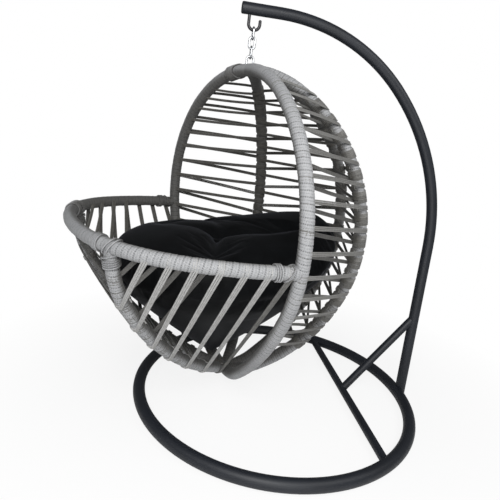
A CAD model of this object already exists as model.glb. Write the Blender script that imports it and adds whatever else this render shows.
# %% [markdown]
# # A hanging egg chair
# The chair is a curved steel mast on a ring, with a corded basket that hangs from a short chain.
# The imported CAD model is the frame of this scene: it says where every part is, in metres.
# The cells below keep the steel parts and dress them, and replace the plain basket tubes, the straps,
# the lashings and the cushion with forms that show how they are really made.

# %% Load the frame
import math

import bmesh
import bpy
from mathutils import Matrix, Vector
from mathutils.noise import noise


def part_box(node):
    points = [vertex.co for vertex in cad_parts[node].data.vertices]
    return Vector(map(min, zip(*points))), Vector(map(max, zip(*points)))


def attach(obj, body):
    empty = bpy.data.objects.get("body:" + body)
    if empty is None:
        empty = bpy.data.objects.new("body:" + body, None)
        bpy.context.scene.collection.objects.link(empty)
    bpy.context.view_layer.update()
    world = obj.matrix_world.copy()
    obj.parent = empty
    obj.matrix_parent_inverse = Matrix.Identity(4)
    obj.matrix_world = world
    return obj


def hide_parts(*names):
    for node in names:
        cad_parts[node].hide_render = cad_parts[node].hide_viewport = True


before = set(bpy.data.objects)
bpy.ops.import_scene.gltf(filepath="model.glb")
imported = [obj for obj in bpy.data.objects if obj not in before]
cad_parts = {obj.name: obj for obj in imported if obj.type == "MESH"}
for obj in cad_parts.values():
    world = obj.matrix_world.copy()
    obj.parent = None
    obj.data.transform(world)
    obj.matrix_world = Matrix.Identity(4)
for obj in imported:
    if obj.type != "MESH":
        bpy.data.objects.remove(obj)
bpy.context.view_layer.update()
scene = bpy.context.scene

# %% [markdown]
# ## The camera
# The camera stands close to the chair at chest height and leans a little to one side, so its three
# directions are given as vectors. The small shift frames the chair without turning the lens.

# %% Camera
CAMERA_AT = Vector((1.9397, -0.5389, 1.1994))
CAMERA_LOOKS = Vector((-0.9666, 0.1712, -0.1906))
CAMERA_UP = Vector((-0.2075, -0.0872, 0.9743))
LENS_MM = 34.49
SHIFT = (-0.0043, -0.0711)

camera = bpy.data.objects.new("camera", bpy.data.cameras.new("camera"))
scene.collection.objects.link(camera)
looks = CAMERA_LOOKS.normalized()
across = looks.cross(CAMERA_UP).normalized()
upward = across.cross(looks)
camera.matrix_world = Matrix.Translation(CAMERA_AT) @ Matrix((across, upward, -looks)).transposed().to_4x4()
camera.data.sensor_width = 36.0
camera.data.lens = LENS_MM
camera.data.shift_x, camera.data.shift_y = SHIFT
scene.camera = camera
print("camera", tuple(round(v, 2) for v in camera.location))

# %% [markdown]
# ## Light and floor
# A pale floor takes the shadow. The world and four soft lamps light the chair. The strongest lamp stands on
# the camera's side, so the near tubes are brighter than the far ones, and a low one reaches under the
# basket. The cell starts with the small tools that every material below is made with.

# %% Stage
def principled(name):
    """A new material, with its nodes, its links and its shader."""
    material = bpy.data.materials.new(name)
    material.use_nodes = True
    tree = material.node_tree
    return material, tree.nodes, tree.links, tree.nodes["Principled BSDF"]


def set_inputs(node, values):
    for name, value in values.items():
        node.inputs[name].default_value = value


def math_node(tree, operation, first, second=None):
    """A sum on one or two values, each a number or the output of another node."""
    node = tree.nodes.new("ShaderNodeMath")
    node.operation = operation
    for socket, value in zip(node.inputs, (first, second)):
        if value is None:
            continue
        if isinstance(value, (int, float)):
            socket.default_value = value
        else:
            tree.links.new(value, socket)
    return node.outputs[0]


def times(tree, first, second):
    return math_node(tree, "MULTIPLY", first, second)


def plus(tree, first, second):
    return math_node(tree, "ADD", first, second)


def noise_node(tree, scale, detail):
    """Noise on the piece's own coordinates, so it stays on the piece when that moves."""
    node = tree.nodes.new("ShaderNodeTexNoise")
    set_inputs(node, {"Scale": scale, "Detail": detail})
    coords = tree.nodes.new("ShaderNodeTexCoord")
    tree.links.new(coords.outputs["Object"], node.inputs["Vector"])
    return node.outputs[0]


def add_bump(tree, shader, height, strength, distance):
    bump = tree.nodes.new("ShaderNodeBump")
    set_inputs(bump, {"Strength": strength, "Distance": distance})
    tree.links.new(height, bump.inputs["Height"])
    tree.links.new(bump.outputs[0], shader.inputs["Normal"])


def ramp(tree, factor, stops):
    """Colours along a factor. A stop is (place, colour)."""
    node = tree.nodes.new("ShaderNodeValToRGB")
    while len(node.color_ramp.elements) < len(stops):
        node.color_ramp.elements.new(0.5)
    for element, (place, colour) in zip(node.color_ramp.elements, stops):
        element.position = place
        element.color = (*colour, 1)
    tree.links.new(factor, node.inputs[0])
    return node.outputs[0]


def soft_lamp(name, place, aim, size, power):
    lamp = bpy.data.objects.new(name, bpy.data.lights.new(name, "AREA"))
    lamp.data.size = size
    lamp.data.energy = power
    lamp.location = place
    lamp.rotation_euler = (Vector(aim) - Vector(place)).to_track_quat("-Z", "Y").to_euler()
    scene.collection.objects.link(lamp)


world = bpy.data.worlds.new("studio")
world.use_nodes = True
scene.world = world
tree = world.node_tree
sky = tree.nodes["Background"]
rays = tree.nodes.new("ShaderNodeLightPath")
white = tree.nodes.new("ShaderNodeBackground")
pick = tree.nodes.new("ShaderNodeMixShader")
set_inputs(white, {"Color": (1, 1, 1, 1), "Strength": 1.0})
set_inputs(sky, {"Color": (0.95, 0.97, 1, 1), "Strength": 0.17})
tree.links.new(rays.outputs["Is Camera Ray"], pick.inputs[0])
tree.links.new(sky.outputs[0], pick.inputs[1])
tree.links.new(white.outputs[0], pick.inputs[2])
tree.links.new(pick.outputs[0], tree.nodes["World Output"].inputs["Surface"])

LAMPS = [  # name, place, what it aims at, size in metres, power in watts
    ("side_lamp", (2.3, -0.6, 2.1), (0.3, -0.2, 0.8), 1.2, 60),
    ("window_lamp", (1.4, -2.9, 2.0), (0.1, -0.4, 0.8), 1.4, 9),
    ("top_lamp", (1.5, 1.7, 2.5), (0.1, 0.1, 0.9), 1.4, 24),
    ("floor_lamp", (2.2, -0.2, 0.35), (0.2, -0.3, 0.5), 1.0, 9),
]
for name, place, aim, size, power in LAMPS:
    soft_lamp(name, place, aim, size, power)

# the floor is lit and shaded like any surface, but fades to plain white away from the chair
FLOOR_HALF = 9.0
FADE_FROM, FADE_TO, WHITE_NEAR, WHITE_FAR = 0.7, 1.5, 0.86, 1.0
floor_bm = bmesh.new()
bmesh.ops.create_grid(floor_bm, x_segments=1, y_segments=1, size=FLOOR_HALF)
floor_mesh = bpy.data.meshes.new("pale_floor")
floor_bm.to_mesh(floor_mesh)
floor_bm.free()
floor = bpy.data.objects.new("pale_floor", floor_mesh)
scene.collection.objects.link(floor)
floor_material, nodes, links, shader = principled("pale_floor")
set_inputs(shader, {"Base Color": (0.9, 0.9, 0.9, 1), "Roughness": 0.8, "Specular IOR Level": 0.2})
rays = nodes.new("ShaderNodeLightPath")
paper = nodes.new("ShaderNodeEmission")
set_inputs(paper, {"Color": (1, 1, 1, 1)})
seen = nodes.new("ShaderNodeMixShader")
coords = nodes.new("ShaderNodeTexCoord")
distance = nodes.new("ShaderNodeVectorMath")
distance.operation = "LENGTH"
links.new(coords.outputs["Object"], distance.inputs[0])
fade = nodes.new("ShaderNodeMapRange")
set_inputs(fade, {"From Min": FADE_FROM, "From Max": FADE_TO, "To Min": WHITE_NEAR, "To Max": WHITE_FAR})
links.new(distance.outputs["Value"], fade.inputs["Value"])
whiteness = times(floor_material.node_tree, rays.outputs["Is Camera Ray"], fade.outputs[0])
links.new(whiteness, seen.inputs[0])
links.new(shader.outputs[0], seen.inputs[1])
links.new(paper.outputs[0], seen.inputs[2])
links.new(seen.outputs[0], nodes["Material Output"].inputs["Surface"])
floor_mesh.materials.append(floor_material)
scene.view_settings.view_transform = "Standard"
print("stage ready")

# %% [markdown]
# ## Where the basket's tubes run
# The basket is drawn in its own frame: x to its mouth, y to the sitter's left, z up from the middle of the
# top tube. Its upright tubes are half loops made of four tangent arcs, so a crown radius, a greatest reach
# and three angles say the whole shape. These are the same sizes as the CAD part's.

# %% Basket frame and arcs
MM = 0.001
BASKET_HEIGHT = 1282 * MM
HOOP_R, RIB_R = 24.4 * MM, 23.6 * MM
HOOP_AZIMUTH, SIDE_AZIMUTH = 84.0, 131.2
TURN, LEAN = math.radians(21), math.radians(2)
eye_low, eye_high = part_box("hanging_eye")
hoop_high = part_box("hoop_left")[1]
PIVOT = Vector(((eye_low.x + eye_high.x) / 2, (eye_low.y + eye_high.y) / 2, hoop_high.z - HOOP_R))
TO_ROW = (Matrix.Translation(PIVOT) @ Matrix.Rotation(TURN - math.pi / 2, 4, "Z")
          @ Matrix.Rotation(LEAN, 4, "Y"))
BASKET_MIDDLE = TO_ROW @ Vector((0.03, 0, -0.62))
print("basket hangs from", tuple(round(v, 4) for v in PIVOT))


def sine(degrees):
    return math.sin(math.radians(degrees))


def cosine(degrees):
    return math.cos(math.radians(degrees))


def meridian(crown, reach, a1, a2, a3):
    """Four tangent arcs from top to bottom: [radius, start angle, end angle], in metres and degrees."""
    side = (reach - crown * sine(a1)) / (1 - sine(a1))
    out = reach - side * (1 - sine(a2))
    down = crown * (1 - cosine(a1)) + side * (cosine(a1) - cosine(a2))
    a, b, c, d = sine(a2) - sine(a3), sine(a3), cosine(a2) - cosine(a3), 1 + cosine(a3)
    left = BASKET_HEIGHT - down
    det = a * d - b * c
    lower, foot = (out * d - b * left) / det, (a * left - c * out) / det
    return [[crown, 0, a1], [side, a1, a2], [lower, a2, a3], [foot, a3, 180]]


HOOP = meridian(574.4 * MM, 572 * MM, 67.4, 121.5, 142.5)
SIDE = meridian(394.6 * MM, 511.5 * MM, 31.5, 112.4, 147.7)
BACK = meridian(438 * MM, 561.5 * MM, 16.9, 121, 150.2)


def walk(arcs, start):
    """Yields (centre, arc) along a chain of arcs in its own flat (reach, height) plane."""
    at = Vector(start)
    for radius, a1, a2 in arcs:
        yield at - radius * Vector((sine(a1), cosine(a1))), (radius, a1, a2)
        at = at + radius * Vector((sine(a2) - sine(a1), cosine(a2) - cosine(a1)))


class Route:
    """A tube's middle line: flat arcs stood up in a plane, with a point and a direction at any length."""

    def __init__(self, arcs, start, origin, x_axis, y_axis):
        self.origin, self.x_axis, self.y_axis = origin, x_axis, y_axis
        self.pieces, self.length = [], 0.0
        for centre, (radius, a1, a2) in walk(arcs, start):
            span = radius * math.radians(a2 - a1)
            self.pieces.append((self.length, span, centre, radius, a1, a2))
            self.length += span

    def at(self, length):
        for begin, span, centre, radius, a1, a2 in self.pieces:
            if length <= begin + span or (begin, span) == self.pieces[-1][:2]:
                angle = a1 + (a2 - a1) * (length - begin) / span
                flat = centre + radius * Vector((sine(angle), cosine(angle)))
                along = Vector((cosine(angle), -sine(angle)))
                break
        return (self.origin + flat.x * self.x_axis + flat.y * self.y_axis,
                (along.x * self.x_axis + along.y * self.y_axis).normalized())

    def length_at_depth(self, depth):
        low, high = 0.0, self.length
        for _ in range(40):
            middle = (low + high) / 2
            if self.local(middle).z > -depth:
                low = middle
            else:
                high = middle
        return low

    def local(self, length):
        return TO_ROW.inverted() @ self.at(length)[0]


def to_row(vector):
    return TO_ROW.to_3x3() @ Vector(vector)


def upright(azimuth, arcs, start=(0.0, 0.0)):
    reach = to_row((cosine(azimuth), sine(azimuth), 0))
    return Route(arcs, start, TO_ROW @ Vector((0, 0, 0)), reach, to_row((0, 0, 1)))


hoop_left = upright(HOOP_AZIMUTH, HOOP)
hoop_right = upright(-HOOP_AZIMUTH, HOOP)
rib_left = upright(SIDE_AZIMUTH, SIDE)
rib_right = upright(-SIDE_AZIMUTH, SIDE)
rib_middle = upright(180, BACK)
print("hoop half", round(hoop_left.length, 3), "m, side and middle rib",
      round(rib_left.length, 3), round(rib_middle.length, 3), "m")

# %% [markdown]
# ## The rim and the keels
# The rim lies in a plane of its own that rises a little to the front. It has a flat front arc, two corner
# arcs and two arms that run back to the hoop. Two keels drop from knots on the rim, one to each side of
# the middle, and sweep back to the bottom.

# %% Rim and keel routes
RIM_TILT = math.radians(4.4)
RIM_REACH, RIM_DROP = 652 * MM, 643 * MM
RIM_FRONT, RIM_FRONT_ANGLE = 819 * MM, 9.5
RIM_CORNER, RIM_CORNER_END = 454 * MM, 58.9
KNOT_ANGLE = 29.5
KEEL_UPPER, KEEL_TURN = 386 * MM, 122.0

join_at = hoop_left.local(hoop_left.length_at_depth(RIM_DROP))
rim_join = Vector((58 * MM, join_at.y))
corner_centre = Vector((RIM_REACH - RIM_FRONT + (RIM_FRONT - RIM_CORNER) * cosine(RIM_FRONT_ANGLE),
                        (RIM_FRONT - RIM_CORNER) * sine(RIM_FRONT_ANGLE)))
inward = -Vector((cosine(RIM_CORNER_END), sine(RIM_CORNER_END)))
arm_start = corner_centre - RIM_CORNER * inward
chord = rim_join - arm_start
RIM_ARM = chord.dot(chord) / (2 * chord.dot(inward))
RIM_ARM_SWEEP = math.degrees(2 * math.asin(chord.length / (2 * RIM_ARM)))
half_rim = [[RIM_FRONT, 0, RIM_FRONT_ANGLE], [RIM_CORNER, RIM_FRONT_ANGLE, RIM_CORNER_END],
            [RIM_ARM, RIM_CORNER_END, RIM_CORNER_END + RIM_ARM_SWEEP]]
rim_origin = TO_ROW @ Vector((0, 0, -RIM_DROP - rim_join.x * math.tan(RIM_TILT)))
rim_forward = to_row((math.cos(RIM_TILT), 0, math.sin(RIM_TILT)))
rim_left = Route(half_rim, (0.0, RIM_REACH), rim_origin, to_row((0, 1, 0)), rim_forward)
rim_right = Route(half_rim, (0.0, RIM_REACH), rim_origin, to_row((0, -1, 0)), rim_forward)


def rim_length(angle):
    """Length along half the rim to where its direction has turned by an angle."""
    return sum(radius * math.radians(max(0.0, min(angle, a2) - a1)) for radius, a1, a2 in half_rim)


knot = TO_ROW.inverted() @ rim_left.at(rim_length(KNOT_ANGLE))[0]
KEEL_AZIMUTH = math.degrees(math.atan2(knot.y, knot.x))
keel_top = Vector((math.hypot(knot.x, knot.y), knot.z))
keel_middle = keel_top + KEEL_UPPER * Vector((sine(KEEL_TURN) - 1, cosine(KEEL_TURN)))
keel_chord = Vector((0, -BASKET_HEIGHT)) - keel_middle
keel_inward = -Vector((sine(KEEL_TURN), cosine(KEEL_TURN)))
KEEL_LOWER = keel_chord.dot(keel_chord) / (2 * keel_chord.dot(keel_inward))
KEEL_SWEEP = math.degrees(2 * math.asin(keel_chord.length / (2 * KEEL_LOWER)))
KEEL = [[KEEL_UPPER, 90, KEEL_TURN], [KEEL_LOWER, KEEL_TURN, KEEL_TURN + KEEL_SWEEP]]
keel_left = upright(KEEL_AZIMUTH, KEEL, (keel_top.x, keel_top.y))
keel_right = upright(-KEEL_AZIMUTH, KEEL, (keel_top.x, keel_top.y))
print("rim half", round(rim_left.length, 3), "m, keels", round(keel_left.length, 3), "m at azimuth",
      round(KEEL_AZIMUTH, 1))

# %% [markdown]
# ## The braided cord
# All the cord is a round braid of pale and dark yarns, so at a short distance it looks silver grey with fine
# dark specks in rows. The specks follow the piece's own UV map. On a winding U counts the cords side by side,
# and on a single cord it goes from 0 to 2 round it. V runs along the cord in cord widths. Cord deep inside
# the basket gets little light, so each material also darkens on the side that faces the basket's middle.

# %% Cord material
SEAM_SHARPNESS, STITCHES_A_WIDTH, STITCH_STAGGER = 3.0, 1.4, 0.5
STITCH_DARK, SEAM_DARK, PAIR_MEAN, PAIR_SWING = 0.17, 0.05, 0.68, 0.32
SIDE_SHARPNESS, SIDE_DARK, WEAVE_LIGHT = 2.5, 0.15, 0.06
MID_TONE = 0.62


def braid_tone(tree, u, v, across, along):
    """Two crossing families of yarn, each a row of slanted ridges: bright on top, dark where they dive."""
    slope = times(tree, v, along)
    side = times(tree, u, across)
    one = math_node(tree, "SINE", times(tree, plus(tree, side, slope), 2 * math.pi))
    two = math_node(tree, "SINE", times(tree, math_node(tree, "SUBTRACT", side, slope), 2 * math.pi))
    return times(tree, one, two)


def vector_node(tree, operation, first, second=None):
    node = tree.nodes.new("ShaderNodeVectorMath")
    node.operation = operation
    tree.links.new(first, node.inputs[0])
    if second is not None:
        node.inputs[1].default_value = second
    return node


def outward(tree):
    """From 0 where a surface faces the basket's middle to 1 where it faces away."""
    coords = tree.nodes.new("ShaderNodeTexCoord")
    away = vector_node(tree, "SUBTRACT", coords.outputs["Object"], BASKET_MIDDLE)
    level = vector_node(tree, "MULTIPLY", away.outputs[0], (1, 1, 0.15))
    unit = vector_node(tree, "NORMALIZE", level.outputs[0])
    facing = vector_node(tree, "DOT_PRODUCT", unit.outputs[0])
    tree.links.new(coords.outputs["Normal"], facing.inputs[1])
    spread = tree.nodes.new("ShaderNodeMapRange")
    spread.interpolation_type = "SMOOTHSTEP"
    set_inputs(spread, {"From Min": -0.35, "From Max": 0.6})
    tree.links.new(facing.outputs["Value"], spread.inputs["Value"])
    return spread.outputs[0]


def seam_line(tree, u, sharpness):
    """1 where U is whole, which is where two cords touch, and 0 half way between."""
    wave = math_node(tree, "ABSOLUTE", math_node(tree, "COSINE", times(tree, u, math.pi)))
    return math_node(tree, "POWER", wave, sharpness)


def winding_dots(tree, u, v):
    """Dark stitches in the seams of a winding, in staggered rows. Every second seam is the deeper one."""
    step = plus(tree, times(tree, v, STITCHES_A_WIDTH), times(tree, u, STITCH_STAGGER))
    stitch = plus(tree, math_node(tree, "SINE", times(tree, step, 2 * math.pi)), 1.0)
    pair = math_node(tree, "COSINE", times(tree, u, math.pi))
    pair = plus(tree, times(tree, pair, PAIR_SWING), PAIR_MEAN)
    dark = plus(tree, times(tree, stitch, STITCH_DARK), SEAM_DARK)
    return times(tree, times(tree, seam_line(tree, u, SEAM_SHARPNESS), dark), pair)


def cord_material(name, tones, inner_tint, wound=False):
    """Braided cord in three tones, dark to light, tinted on the side towards the basket's middle."""
    material, nodes, links, shader = principled(name)
    tree = material.node_tree
    uv = nodes.new("ShaderNodeUVMap")
    uv.uv_map = "braid"
    split = nodes.new("ShaderNodeSeparateXYZ")
    links.new(uv.outputs[0], split.inputs[0])
    u, v = split.outputs[0], split.outputs[1]
    drift = times(tree, math_node(tree, "SUBTRACT", noise_node(tree, 14.0, 3.0), 0.5), 0.12)
    grain = times(tree, math_node(tree, "SUBTRACT", noise_node(tree, 430.0, 2.0), 0.5), 0.8)
    level = plus(tree, drift, grain)
    if wound:
        level = math_node(tree, "SUBTRACT", level, winding_dots(tree, u, v))
    else:
        # the sides of each cord are dark where it lies against the next
        level = plus(tree, level, times(tree, braid_tone(tree, u, v, 2.0, 1.0), WEAVE_LIGHT))
        side = seam_line(tree, u, SIDE_SHARPNESS)
        level = math_node(tree, "SUBTRACT", level, times(tree, side, SIDE_DARK))
    level = plus(tree, level, MID_TONE)
    colour = ramp(tree, level, [(0.1, tones[0]), (0.42, tones[1]), (0.72, tones[2])])
    tint = ramp(tree, outward(tree), [(0.0, inner_tint), (1.0, (1, 1, 1))])
    mix = nodes.new("ShaderNodeMix")
    mix.data_type = "RGBA"
    mix.blend_type = "MULTIPLY"
    mix.inputs["Factor"].default_value = 1.0
    links.new(colour, mix.inputs[6])
    links.new(tint, mix.inputs[7])
    links.new(mix.outputs[2], shader.inputs["Base Color"])
    set_inputs(shader, {"Roughness": 0.6, "Specular IOR Level": 0.3, "Sheen Weight": 0.08,
                        "Sheen Roughness": 0.4})
    add_bump(tree, shader, level, 0.5, 0.001)
    return material


SILVER = [(0.03, 0.031, 0.033), (0.2, 0.203, 0.207), (0.37, 0.373, 0.38)]
STRAP = [(0.055, 0.055, 0.053), (0.26, 0.258, 0.251), (0.44, 0.436, 0.427)]
BACK_STRAP = [(0.034, 0.034, 0.0315), (0.145, 0.142, 0.135), (0.26, 0.256, 0.243)]
DUSK = [(0.02, 0.0195, 0.018), (0.095, 0.093, 0.087), (0.19, 0.186, 0.176)]
winding_cord = cord_material("winding_cord", SILVER, (0.34, 0.33, 0.31), wound=True)
strap_cord = cord_material("strap_cord", STRAP, (0.25, 0.24, 0.225))
back_cord = cord_material("back_cord", BACK_STRAP, (0.42, 0.41, 0.39))
shaded_cord = cord_material("shaded_cord", DUSK, (0.6, 0.59, 0.56))
print("cord materials ready")

# %% [markdown]
# ## The wound tubes
# Each tube is hidden under cord that goes round and round it, laid tight. Modelling every turn as its own
# tube would take millions of faces, so each piece is one skin instead: a circle is spun along the tube's
# arcs in steps far shorter than the cord is wide, and then its rings are pushed in between the turns, which
# climb round the tube as a real winding does. Two cords are wound side by side, so every second seam is
# deeper.

# %% Wound tube
TURN_WIDTH = 10.2 * MM
STEPS_A_TURN = 5
SIDES = 24
GROOVE = 1.9 * MM
CORDS_SIDE_BY_SIDE = 2
PAIR_DEPTH, PAIR_CHANGE = 0.8, 0.35
TURN_UNEVEN, SLOW_UNEVEN = 0.9 * MM, 0.5 * MM
TRIM = 12 * MM


def winding_height(turns, seed):
    """How far the skin lies under the tube's outside at a place counted in turns of cord."""
    number = math.floor(turns)
    phase = turns - number
    round_top = math.sqrt(max(0.0, 1 - (2 * phase - 1) ** 2))
    uneven = noise(Vector((number * 0.73, seed * 9.1, 0.3))) * TURN_UNEVEN
    slow = noise(Vector((number * 0.06, seed * 3.7, 5.2))) * SLOW_UNEVEN
    pair = PAIR_DEPTH + PAIR_CHANGE * math.cos(math.pi * turns)
    return -GROOVE * pair * (1 - round_top) + uneven + slow


def arcs_in_order(routes, trim):
    """The arcs of the routes from end to end: [route, arc's centre, its radius, first, last, backwards]."""
    arcs = []
    for route, backwards in routes:
        for begin, span, centre, bend, a1, a2 in reversed(route.pieces) if backwards else route.pieces:
            ends = (begin + span, begin) if backwards else (begin, begin + span)
            arcs.append([route, centre, bend, *ends, backwards])
    arcs[0][3] += -trim if arcs[0][5] else trim
    arcs[-1][4] -= -trim if arcs[-1][5] else trim
    return arcs


def wound_tube(name, routes, radius, replaced, seed, trim):
    """A skin spun along one or more routes that follow on from one another."""
    bm = bmesh.new()
    uv_layer = bm.loops.layers.uv.new("braid")
    lengths, edges = [0.0], None
    for route, centre, bend, first, last, backwards in arcs_in_order(routes, trim):
        place, direction = route.at(first)
        direction = -direction if backwards else direction
        middle = route.origin + centre.x * route.x_axis + centre.y * route.y_axis
        axle = (place - middle).cross(direction).normalized()
        if edges is None:
            side = (place - middle).normalized()
            stand = Matrix.Translation(place) @ Matrix((side, axle, direction)).transposed().to_4x4()
            made = bmesh.ops.create_circle(bm, segments=SIDES, radius=radius, matrix=stand)
            edges = list({e for v in made["verts"] for e in v.link_edges})
        run = abs(last - first)
        steps = max(2, round(run / (TURN_WIDTH / STEPS_A_TURN)))
        spun = bmesh.ops.spin(bm, geom=edges, cent=middle, axis=axle, angle=run / bend, steps=steps)
        edges = [g for g in spun["geom_last"] if isinstance(g, bmesh.types.BMEdge)]
        done = lengths[-1]
        lengths += [done + run * step / steps for step in range(1, steps + 1)]
    bm.verts.ensure_lookup_table()
    bm.verts.index_update()
    rings = len(lengths)
    around = 2 * math.pi * radius / TURN_WIDTH
    for ring in range(rings):
        ring_verts = [bm.verts[ring * SIDES + k] for k in range(SIDES)]
        middle = sum((v.co for v in ring_verts), Vector()) / SIDES
        for k, vert in enumerate(ring_verts):
            turns = lengths[ring] / TURN_WIDTH - CORDS_SIDE_BY_SIDE * k / SIDES
            away = (vert.co - middle).normalized()
            vert.co = vert.co + away * winding_height(turns, seed)
    for face in bm.faces:
        face.smooth = True
        columns = [loop.vert.index % SIDES for loop in face.loops]
        wraps = max(columns) - min(columns) > SIDES / 2
        for loop, column in zip(face.loops, columns):
            k = column + SIDES if wraps and column < SIDES / 2 else column
            turns = lengths[loop.vert.index // SIDES] / TURN_WIDTH - CORDS_SIDE_BY_SIDE * k / SIDES
            loop[uv_layer].uv = (turns, k / SIDES * around)
    ends = [e for e in bm.edges if e.is_boundary]
    bmesh.ops.holes_fill(bm, edges=ends, sides=0)
    bmesh.ops.recalc_face_normals(bm, faces=bm.faces)
    mesh = bpy.data.meshes.new(name)
    bm.to_mesh(mesh)
    bm.free()
    mesh.materials.append(winding_cord)
    piece = bpy.data.objects.new(name, mesh)
    scene.collection.objects.link(piece)
    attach(piece, "basket")
    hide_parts(replaced)
    done = lengths[-1]
    print(name, round(done, 2), "m of tube,", round(done * around, 1), "m of cord,", rings, "rings")


WOUND_TUBES = [  # name, its routes and whether each runs backwards, radius, CAD part, seed, trim
    ("wound_hoop_left", [(hoop_left, False)], HOOP_R, "hoop_left", 1, 0.0),
    ("wound_hoop_right", [(hoop_right, False)], HOOP_R, "hoop_right", 2, 0.0),
    ("wound_rib_left", [(rib_left, False)], RIB_R, "back_rib_left", 3, TRIM),
    ("wound_rib_right", [(rib_right, False)], RIB_R, "back_rib_right", 4, TRIM),
    ("wound_rib_middle", [(rib_middle, False)], RIB_R, "back_rib_middle", 5, TRIM),
    ("wound_rim", [(rim_right, True), (rim_left, False)], RIB_R, "rim", 6, TRIM),
    ("wound_keel_left", [(keel_left, False)], RIB_R, "keel_left", 7, TRIM),
    ("wound_keel_right", [(keel_right, False)], RIB_R, "keel_right", 8, TRIM),
]
for row in WOUND_TUBES:
    wound_tube(*row)

# %% [markdown]
# ## Straps
# A strap is three cords laid side by side. Each cord winds round one tube, runs nearly straight to the next
# and winds round that, so both ends show as a raised band. A curve with a round bevel is the natural way to
# draw a cord, and all the cords of a panel share one curve, which then becomes one mesh.

# %% Strap tools
CORD_R, CORDS = 2.6 * MM, 3
WRAP_STEPS, WRAP_TURN, WRAP_SLIDE = 9, 4.6, 0.2
ON_HOOP, ON_RIB = HOOP_R - 2.7 * MM, RIB_R + 1.4 * MM
PINCH, BOW, BETWEEN_WRAPS = 0.96, 4 * MM, (0.12, 0.3, 0.5, 0.7, 0.88)
BEVEL_STEPS = 2
CORD_SIDES = 4 + 2 * BEVEL_STEPS


def wrap(place, along, onward, radius, shift, centre_line, outside):
    """A cord's points round a tube, through WRAP_TURN radians, and the side of the tube that it leaves on."""
    leave = (onward - along * onward.dot(along)).normalized()
    out = along.cross(leave).normalized()
    out = out if out.dot(centre_line) * outside > 0 else -out
    points = []
    for step in range(WRAP_STEPS + 1):
        still = 1 - step / WRAP_STEPS
        angle = -WRAP_TURN * still
        slide = shift * still
        points.append(place + along * slide + radius * (math.cos(angle) * out + math.sin(angle) * leave))
    return points, out


def strap_cords(end_a, end_b, outside=1.0, spread=1.18, gather=1.0):
    """The cords of one strap. An end is (route, length along it, how far from its middle the cord lies)."""
    (route_a, length_a, r_a), (route_b, length_b, r_b) = end_a, end_b
    pitch = 2 * CORD_R * spread
    mid_a, along_a = route_a.at(length_a)
    mid_b, along_b = route_b.at(length_b)
    centre_line = ((mid_a + mid_b) / 2 - BASKET_MIDDLE).normalized()
    order_b = -1 if along_a.dot(along_b) < 0 else 1
    lines = []
    for index in range(CORDS):
        offset = (index - (CORDS - 1) / 2) * pitch
        a, ta = route_a.at(max(0.0, min(route_a.length, length_a + offset)))
        b, tb = route_b.at(max(0.0, min(route_b.length, length_b + offset * order_b * gather)))
        span = (b - a).normalized()
        start, out_a = wrap(a, ta, span, r_a, WRAP_SLIDE * pitch, centre_line, outside)
        finish, out_b = wrap(b, tb, -span, r_b, WRAP_SLIDE * pitch, centre_line, outside)
        gap = finish[-1] - start[-1]
        strand_mid = (mid_a + out_a * (r_a + CORD_R) + mid_b + out_b * (r_b + CORD_R)) / 2
        middle = []
        for t in BETWEEN_WRAPS:
            point = start[-1] + gap * t
            bulge = 1 - (2 * t - 1) ** 2
            middle.append(point + (strand_mid - (start[-1] + gap * 0.5)) * (1 - PINCH) * bulge
                          + centre_line * outside * BOW * bulge)
        lines.append(start + middle + list(reversed(finish)))
    return lines


def braid_map(mesh, lines, radius):
    """A UV map for cords: V is the length in cord widths, and U goes from 0 to 2 round the cord."""
    layer = mesh.uv_layers.new(name="braid")
    lengths = []
    for line in lines:
        lengths.append(0.0)
        for a, b in zip(line, line[1:]):
            lengths.append(lengths[-1] + (b - a).length)
    for polygon in mesh.polygons:
        ids = [mesh.loops[i].vertex_index for i in polygon.loop_indices]
        columns = [i % CORD_SIDES for i in ids]
        wraps = max(columns) - min(columns) > CORD_SIDES / 2
        for loop_index, vertex, column in zip(polygon.loop_indices, ids, columns):
            k = column + CORD_SIDES if wraps and column < CORD_SIDES / 2 else column
            along = lengths[min(vertex // CORD_SIDES, len(lengths) - 1)]
            layer.data[loop_index].uv = (k / CORD_SIDES * 2.0, along / (2 * radius))


def cord_mesh(name, lines, radius, material, replaced, shaded=()):
    """One piece made of many cords. The shaded ones get less light and take the darker cord."""
    curve = bpy.data.curves.new(name, "CURVE")
    curve.dimensions = "3D"
    curve.bevel_depth = radius
    curve.bevel_resolution = BEVEL_STEPS
    curve.use_fill_caps = True
    light = sum(len(line) for line in lines) * CORD_SIDES
    lines = list(lines) + list(shaded)
    for line in lines:
        spline = curve.splines.new("POLY")
        spline.points.add(len(line) - 1)
        for point, place in zip(spline.points, line):
            point.co = (*place, 1)
    holder = bpy.data.objects.new(name + "_curve", curve)
    scene.collection.objects.link(holder)
    bpy.context.view_layer.update()
    mesh = bpy.data.meshes.new_from_object(holder)
    mesh.name = name
    bpy.data.objects.remove(holder)
    braid_map(mesh, lines, radius)
    mesh.materials.clear()
    mesh.materials.append(material)
    if shaded:
        mesh.materials.append(shaded_cord)
    for polygon in mesh.polygons:
        polygon.use_smooth = True
        polygon.material_index = 1 if shaded and polygon.vertices[0] >= light else 0
    piece = bpy.data.objects.new(name, mesh)
    scene.collection.objects.link(piece)
    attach(piece, "basket")
    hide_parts(replaced)
    metres = sum((b - a).length for line in lines for a, b in zip(line, line[1:]))
    print(name, len(lines), "cords,", round(metres, 2), "m of cord,", len(mesh.polygons), "faces")


# %% [markdown]
# ## The webbing of the back
# Between each pair of upright tubes the cords make a row of V's. On the hoop the V's points are evenly
# spaced. From each point an upper leg runs nearly level to the next tube and a lower leg slants down to it.
# One leg leaves its tube on the outside of the basket and the other on the inside, so they cross without
# touching.

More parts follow.
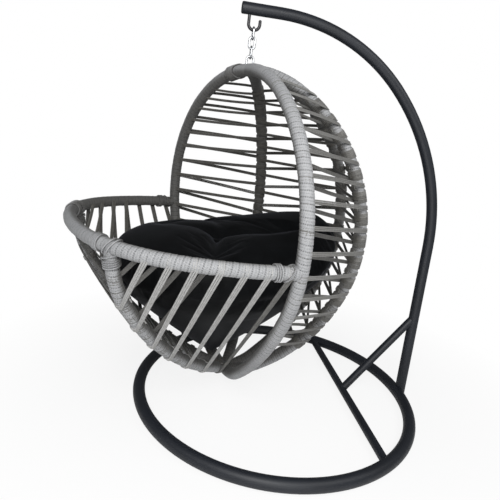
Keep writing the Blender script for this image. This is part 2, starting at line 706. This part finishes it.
# %% Back panels
BACK_VEES, WEB_FROM, WEB_PITCH, LEG_SHIFT = 14, 265 * MM, 79.4 * MM, 14 * MM
LEG_ROOM, MID_BELOW, MID_DROP, MID_RISE_MOST, MID_RISE = 30 * MM, 25 * MM, 22 * MM, 60 * MM, 0.11
LEFT_DROP, LEFT_LEAN, RIGHT_LEAN, RIGHT_LEANS_BELOW = 30 * MM, 0.085, 0.2, 0.4
VEE_SPREAD = 1.02


def rib_depth(side, number):
    """How deep the legs of a V meet the side rib. The two sides of the basket aren't laced alike."""
    depth = -hoop_left.local(WEB_FROM + number * WEB_PITCH).z
    if side > 0:
        return depth + (LEFT_DROP + LEFT_LEAN * depth)
    return depth + RIGHT_LEAN * max(0.0, depth - RIGHT_LEANS_BELOW)


def vee(point, upper, lower, upper_side=1.0):
    """The two legs of a V. Each end is (route, length along it, how far from its middle the cord lies)."""
    route, length, reach = point
    return (strap_cords(point, upper, outside=upper_side, spread=VEE_SPREAD),
            strap_cords((route, length + LEG_SHIFT, reach), lower, outside=-upper_side, spread=VEE_SPREAD))


def upper_and_lower(vees):
    return sum((upper for upper, lower in vees), []), sum((lower for upper, lower in vees), [])


def outer_panel(hoop, rib, side):
    vees = []
    for number in range(BACK_VEES):
        upper = rib.length_at_depth(rib_depth(side, number))
        lower = rib.length_at_depth(rib_depth(side, number + 1) - LEG_ROOM)
        vees.append(vee((hoop, WEB_FROM + number * WEB_PITCH, ON_HOOP), (rib, upper, ON_RIB),
                        (rib, lower, ON_RIB), upper_side=side))
    return upper_and_lower(vees)


def middle_panel(rib, side):
    vees = []
    for number in range(BACK_VEES):
        depth = rib_depth(side, number) + MID_BELOW
        upper = rib_middle.length_at_depth(depth - min(MID_RISE_MOST, MID_RISE * depth))
        lower = rib_middle.length_at_depth(depth + MID_DROP)
        vees.append(vee((rib, rib.length_at_depth(depth), ON_RIB), (rib_middle, upper, ON_RIB),
                        (rib_middle, lower, ON_RIB)))
    return upper_and_lower(vees)


BACK_PANELS = {
    "left": outer_panel(hoop_left, rib_left, 1.0),
    "mid_left": middle_panel(rib_left, 1.0),
    "mid_right": middle_panel(rib_right, -1.0),
    "right": outer_panel(hoop_right, rib_right, -1.0),
}
for part, (upper_legs, lower_legs) in BACK_PANELS.items():
    cord_mesh("webbing_" + part, upper_legs, CORD_R, back_cord, "back_web_" + part, shaded=lower_legs)

# %% [markdown]
# ## The webbing under the seat
# Straps of three cords run from each arm of the rim down to a keel, and near the knot each has a second,
# narrower leg that climbs back from the keel. A zigzag of straps closes the gap between the two keels.

# %% Seat and front panels
SEAT_STRAPS, RIM_FROM, RIM_STEP, KEEL_FROM, KEEL_STEP = 7, 432 * MM, 73.2 * MM, 210 * MM, 122 * MM
SECOND_LEGS, SECOND_ALONG, SECOND_UP, KNOT_ROOM = 4, 0.65, 14 * MM, 118 * MM
FRONT_STRAPS, FRONT_FROM, FRONT_STEP = 12, 100 * MM, 58 * MM
ON_RIM, SEAT_ON_RIM, SECOND_ON_RIM = RIB_R - 2.2 * MM, RIB_R - 3.4 * MM, RIB_R - 4.2 * MM
SEAT_CORD_R = 3.7 * MM
SEAT_SPREAD, SEAT_GATHER, SECOND_SPREAD, SECOND_GATHER = 1.44, 0.8, 1.34, 0.84
RIMS_AND_KEELS = {"left": (rim_left, keel_left), "right": (rim_right, keel_right)}


def seat_panel(rim, keel):
    straps, second = [], []
    for number in range(SEAT_STRAPS):
        straps += strap_cords((rim, RIM_FROM + number * RIM_STEP, SEAT_ON_RIM),
                              (keel, KEEL_FROM + number * KEEL_STEP, ON_RIB),
                              spread=SEAT_SPREAD, gather=SEAT_GATHER)
    for number in range(-1, SECOND_LEGS - 1):
        foot = max(KNOT_ROOM, KEEL_FROM + number * KEEL_STEP - SECOND_UP)
        second += strap_cords((rim, RIM_FROM + (number + SECOND_ALONG) * RIM_STEP, SECOND_ON_RIM),
                              (keel, foot, SECOND_ON_RIM), outside=-1.0,
                              spread=SECOND_SPREAD, gather=SECOND_GATHER)
    return straps, second


for part, (rim, keel) in RIMS_AND_KEELS.items():
    straps, second_legs = seat_panel(rim, keel)
    cord_mesh("seat_webbing_" + part, straps, SEAT_CORD_R, strap_cord, "seat_web_" + part, shaded=second_legs)

zigzag = []
for number in range(FRONT_STRAPS):
    run = FRONT_FROM + number * FRONT_STEP
    zigzag += strap_cords((keel_left, run, ON_RIM), (keel_right, run, ON_RIM))
    zigzag += strap_cords((keel_left, run + LEG_SHIFT, ON_RIM),
                          (keel_right, run + FRONT_STEP - LEG_SHIFT, ON_RIM), outside=-1.0)
cord_mesh("front_webbing", [], CORD_R, strap_cord, "front_web", shaded=zigzag)

# %% [markdown]
# ## Lashings and knots
# Where tubes meet, a separate cord is wound over the winding. It is a plain helix round the tube's middle
# line. At the hoop's top, the knots and the rim's ends one or two loops also lie aslant, where the cord
# crosses over to the next tube.

# %% Lashings
LASH_R, LASH_PITCH, HELIX_STEPS = 3.2 * MM, 7.5 * MM, 24
TOP_FROM, TOP_TURNS, TOP_LOOP, TOP_SLANT = 88 * MM, 6, 62 * MM, 20 * MM
KEEL_LASH_FROM, KEEL_TURNS = 39 * MM, 4
BEFORE_KNOT, KNOT_TURNS = 8.5, 4
KNOT_LOOPS, KNOT_PITCH, KNOT_SLANT, OVER_RIM = (-6 * MM, 12 * MM), 5 * MM, 17 * MM, 1 * MM
KEEL_LOOP, KEEL_PITCH, KEEL_SLANT, OVER_KEEL = 27 * MM, 6 * MM, -7 * MM, 2.5 * MM
RIM_END_FROM, RIM_END_TURNS, RIM_END_LOOP, RIM_END_SLANT = 98 * MM, 3, 50 * MM, 16 * MM


def helix(route, start, loops, tube_r, pitch=LASH_PITCH, slant=0.0):
    """Turns of cord round a tube. With a slant each turn also leans along the tube and back."""
    points = []
    for step in range(round(loops * HELIX_STEPS) + 1):
        angle = 2 * math.pi * step / HELIX_STEPS
        place, along = route.at(start + pitch * step / HELIX_STEPS + slant * math.sin(angle))
        side = along.cross(route.x_axis.cross(route.y_axis)).normalized()
        round_tube = math.cos(angle) * side + math.sin(angle) * along.cross(side)
        points.append(place + (tube_r + LASH_R) * round_tube)
    return points


def knot_lashing(rim, keel):
    """Turns beside the knot, two loops over it and one round the keel below."""
    at = rim_length(KNOT_ANGLE)
    beside = helix(rim, rim_length(KNOT_ANGLE - BEFORE_KNOT), KNOT_TURNS, RIB_R)
    over = [helix(rim, at + loop, 1, RIB_R + OVER_RIM, KNOT_PITCH, KNOT_SLANT) for loop in KNOT_LOOPS]
    return [beside, *over, helix(keel, KEEL_LOOP, 1, RIB_R + OVER_KEEL, KEEL_PITCH, KEEL_SLANT)]


def rim_end(rim):
    return [helix(rim, rim.length - RIM_END_FROM, RIM_END_TURNS, RIB_R),
            helix(rim, rim.length - RIM_END_LOOP, 1, RIB_R, slant=RIM_END_SLANT)]


def lash(name, lines, replaced):
    cord_mesh(name, lines, LASH_R, winding_cord, replaced)


lash("lashing_top", [helix(hoop_right, TOP_FROM, TOP_TURNS, HOOP_R),
                     helix(hoop_right, TOP_LOOP, 1, HOOP_R, slant=TOP_SLANT)], "top_lashing")
for part, (rim, keel) in RIMS_AND_KEELS.items():
    lash("lashing_keel_" + part, [helix(keel, KEEL_LASH_FROM, KEEL_TURNS, RIB_R)], "keel_lashing_" + part)
for part, (rim, keel) in RIMS_AND_KEELS.items():
    lash("lashing_knot_" + part, knot_lashing(rim, keel), "knot_lashing_" + part)
for part, (rim, keel) in RIMS_AND_KEELS.items():
    lash("lashing_rim_" + part, rim_end(rim), "rim_lashing_" + part)

# %% [markdown]
# ## The cushion
# The seat is one big round cushion in black velvet, pulled down by a stitch in its middle. A sphere is first
# shaped to a low crown that rises to the back and narrows down into the straps, with folds that run out from
# the stitch. Remeshing it in even cells readies it for the cloth in the next cell.

# %% Cushion
CUSHION_FRONT, CUSHION_BACK, HALF_WIDTH, CROWN = 463 * MM, 550 * MM, 410 * MM, 150 * MM
CUSHION_AT = Vector((62 * MM, 0, -795 * MM))
CUSHION_LOW, UNDER_LEAN, BACK_RISE = -1195 * MM, 10 * MM, 0.6
ROUND_POWER, SQUARE_POWER = 2.0, 2.3
FOLDS = [(44, 36), (-40, 12), (-118, 16), (146, 15)]  # degrees, and depth in millimetres
FOLD_CURL, CURLS_LEFT_FROM, FOLD_REACH, FOLD_WIDTH = 0.9, 13, 1.2, 0.026
TOP_POWER, CROWN_POWER, FADE_POWER, UNDER_POWER = 0.9, 2.8, 4, 1.12
STITCH_PIT, PIT_AREA, PIT_START = 46 * MM, 0.0036, 0.03
CUSHION_SHRINK = 0.985
CELL = 0.0105


def outline(angle):
    """The plan's edge: a half ellipse at the back and a squarer half at the front."""
    c, d = math.cos(angle), math.sin(angle)
    power = SQUARE_POWER if c > 0 else ROUND_POWER
    k = (abs(c) ** power + abs(d) ** power) ** (-1 / power)
    return Vector(((CUSHION_FRONT if c > 0 else CUSHION_BACK) * c, HALF_WIDTH * d)) * k


def fold_distance(x, y):
    """Distance to the nearest fold line and that fold's depth. The folds curve as they run out."""
    radius = math.hypot(x, y)
    best = (1.0, 0.0)
    for angle, depth in FOLDS:
        bent = math.radians(angle) + FOLD_CURL * radius * (1 if depth > CURLS_LEFT_FROM else -1)
        turn = (math.atan2(y, x) - bent + math.pi) % (2 * math.pi) - math.pi
        away = abs(turn) * radius if abs(turn) < FOLD_REACH else 1.0
        if away < best[0]:
            best = (away, depth * MM)
    return best


def cushion_shape(direction):
    """Where a point of the unit sphere goes on the resting cushion, in the basket's frame."""
    angle = math.atan2(direction.y, direction.x)
    ring = min(1.0, math.hypot(direction.x, direction.y))
    edge = outline(angle)
    if direction.z >= 0:
        spread = ring ** TOP_POWER
        flat = edge * spread
        height = CROWN * (1 - spread ** CROWN_POWER) ** 0.5
        away, depth = fold_distance(flat.x, flat.y)
        fade = min(1.0, flat.length / PIT_START) * (1 - spread ** FADE_POWER)
        height -= depth * fade * math.exp(-(away / FOLD_WIDTH) ** 2) * (1 - 0.5 * spread)
        height -= STITCH_PIT * math.exp(-flat.length_squared / PIT_AREA)
        lean = 0.0
    else:
        down = math.asin(min(1.0, -direction.z)) / (math.pi / 2)
        flat = edge * (1 - down ** UNDER_POWER)
        height = (CUSHION_LOW - CUSHION_AT.z) * down
        lean = UNDER_LEAN * down
    rise = BACK_RISE * min(0.0, flat.x + CUSHION_AT.x) ** 2
    return CUSHION_AT + Vector((flat.x * CUSHION_SHRINK + lean, flat.y * CUSHION_SHRINK, height + rise))


cushion_bm = bmesh.new()
bmesh.ops.create_uvsphere(cushion_bm, u_segments=96, v_segments=64, radius=1.0)
for vert in cushion_bm.verts:
    vert.co = TO_ROW @ cushion_shape(vert.co.copy())
bmesh.ops.recalc_face_normals(cushion_bm, faces=cushion_bm.faces)
cushion_mesh = bpy.data.meshes.new("cushion")
cushion_bm.to_mesh(cushion_mesh)
cushion_bm.free()
cushion = bpy.data.objects.new("cushion", cushion_mesh)
scene.collection.objects.link(cushion)


def apply_modifiers(piece):
    shown = piece.evaluated_get(bpy.context.evaluated_depsgraph_get())
    shaped = bpy.data.meshes.new_from_object(shown)
    piece.modifiers.clear()
    piece.data = shaped


remesh = cushion.modifiers.new("even_cells", "REMESH")
remesh.mode = "VOXEL"
remesh.voxel_size = CELL
bpy.context.view_layer.update()
apply_modifiers(cushion)
print("cushion cells", len(cushion.data.vertices))

# %% [markdown]
# ## The cushion's filling
# A real cushion is a cover blown out by what fills it. Cloth with inner pressure does the same to this mesh,
# and how far a point may move is capped, so the cushion keeps near its planned size. The stitch, the folds
# and the underside are held, so they stay drawn in.

# %% Swell the cushion
MOST_SWELL, SWELL_FRAMES, PRESSURE = 18 * MM, 20, 4.0
STITCH_ROOM, STITCH_HOLD = 0.03, 1.0
CREASE_ROOM, CREASE_REACH, CREASE_HOLD = 0.006, 0.3, 0.8
TOP_ABOVE, UNDER_BELOW, UNDER_HOLD = 0.03, 0.12, 0.95


def swell(piece):
    """Blow the cushion out with cloth, and cap how far each point may move."""
    rest = [v.co.copy() for v in piece.data.vertices]
    held = piece.vertex_groups.new(name="held")
    into = TO_ROW.inverted()
    for index, point in enumerate(rest):
        local = into @ point
        x, y = local.x - CUSHION_AT.x, local.y
        away, depth = fold_distance(x, y)
        on_top = local.z > CUSHION_AT.z + TOP_ABOVE
        if on_top and math.hypot(x, y) < STITCH_ROOM:
            held.add([index], STITCH_HOLD, "REPLACE")
        elif on_top and away < CREASE_ROOM and math.hypot(x, y) < CREASE_REACH:
            held.add([index], CREASE_HOLD, "REPLACE")
        elif local.z < CUSHION_AT.z - UNDER_BELOW:
            held.add([index], UNDER_HOLD, "REPLACE")
    cloth = piece.modifiers.new("swell", "CLOTH")
    cloth.settings.use_pressure = True
    cloth.settings.uniform_pressure_force = PRESSURE
    cloth.settings.mass = 0.3
    cloth.settings.tension_stiffness = 12
    cloth.settings.compression_stiffness = 12
    cloth.settings.bending_stiffness = 0.4
    cloth.settings.quality = 4
    cloth.settings.vertex_group_mass = "held"
    cloth.settings.effector_weights.gravity = 0
    cloth.point_cache.frame_start = 1
    cloth.point_cache.frame_end = SWELL_FRAMES
    for number in range(1, SWELL_FRAMES + 1):
        scene.frame_set(number)
    apply_modifiers(piece)
    for vert, start in zip(piece.data.vertices, rest):
        move = vert.co - start
        if move.length > MOST_SWELL:
            vert.co = start + move.normalized() * MOST_SWELL
    scene.frame_set(1)


swell(cushion)
smooth = cushion.modifiers.new("rounded", "SUBSURF")
smooth.levels = smooth.render_levels = 1
for polygon in cushion.data.polygons:
    polygon.use_smooth = True
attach(cushion, "basket")
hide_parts("seat_cushion")

# %% [markdown]
# ## Velvet
# Velvet is nearly black face on and glows softly at a glancing angle. Sheen on the shader gives that glow.
# A slow noise in its two blacks stands for pile that lies this way and that, and a fine one gives its nap.

# %% Velvet
VELVET_DARK, VELVET_LIGHT = (0.0012, 0.0014, 0.0017), (0.0036, 0.0041, 0.0047)
velvet, nodes, links, shader = principled("black_velvet")
tree = velvet.node_tree
pile = noise_node(tree, 9.0, 6.0)
links.new(ramp(tree, pile, [(0.35, VELVET_DARK), (0.7, VELVET_LIGHT)]), shader.inputs["Base Color"])
add_bump(tree, shader, noise_node(tree, 900.0, 2.0), 0.25, 0.0006)
set_inputs(shader, {"Roughness": 0.55, "Specular IOR Level": 0.12, "Sheen Weight": 0.05,
                    "Sheen Roughness": 0.3, "Sheen Tint": (0.75, 0.8, 0.95, 1)})
cushion.data.materials.clear()
cushion.data.materials.append(velvet)

# %% [markdown]
# ## Steel
# The stand is powder coated a blue black with a fine grain. The hook is coated too, and the links and the eye
# are bright zinc.

# %% Metals
def coated_steel(name, colour, roughness):
    """Powder coat: a slow drift in its colour and its gloss, and a fine grain."""
    material, nodes, links, shader = principled(name)
    tree = material.node_tree
    drift = noise_node(tree, 5.0, 4.0)
    darker, lighter = tuple(c * 0.8 for c in colour), tuple(c * 1.25 for c in colour)
    links.new(ramp(tree, drift, [(0.3, darker), (0.7, lighter)]), shader.inputs["Base Color"])
    spread = nodes.new("ShaderNodeMapRange")
    set_inputs(spread, {"To Min": roughness - 0.07, "To Max": roughness + 0.08})
    links.new(drift, spread.inputs["Value"])
    links.new(spread.outputs[0], shader.inputs["Roughness"])
    add_bump(tree, shader, noise_node(tree, 700.0, 3.0), 0.22, 0.0005)
    return material


stand_coat = coated_steel("blue_black_coat", (0.007, 0.009, 0.0135), 0.5)
hook_coat = coated_steel("black_coat", (0.01, 0.01, 0.012), 0.36)

ZINC_DARK, ZINC_LIGHT = (0.42, 0.43, 0.45), (0.72, 0.73, 0.74)
zinc, nodes, links, shader = principled("bright_zinc")
tree = zinc.node_tree
spangle = noise_node(tree, 160.0, 4.0)
links.new(ramp(tree, spangle, [(0.3, ZINC_DARK), (0.7, ZINC_LIGHT)]), shader.inputs["Base Color"])
set_inputs(shader, {"Metallic": 1.0, "Roughness": 0.3})

COATS = {"chain_link": zinc, "hanging_eye": zinc, "hanging_hook": hook_coat, "base_ring": stand_coat,
         "mast": stand_coat, "cross_bar": stand_coat, "brace": stand_coat}
for name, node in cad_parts.items():
    for part, material in COATS.items():
        if name.startswith(part):
            node.data.materials.clear()
            node.data.materials.append(material)
print("steel dressed")
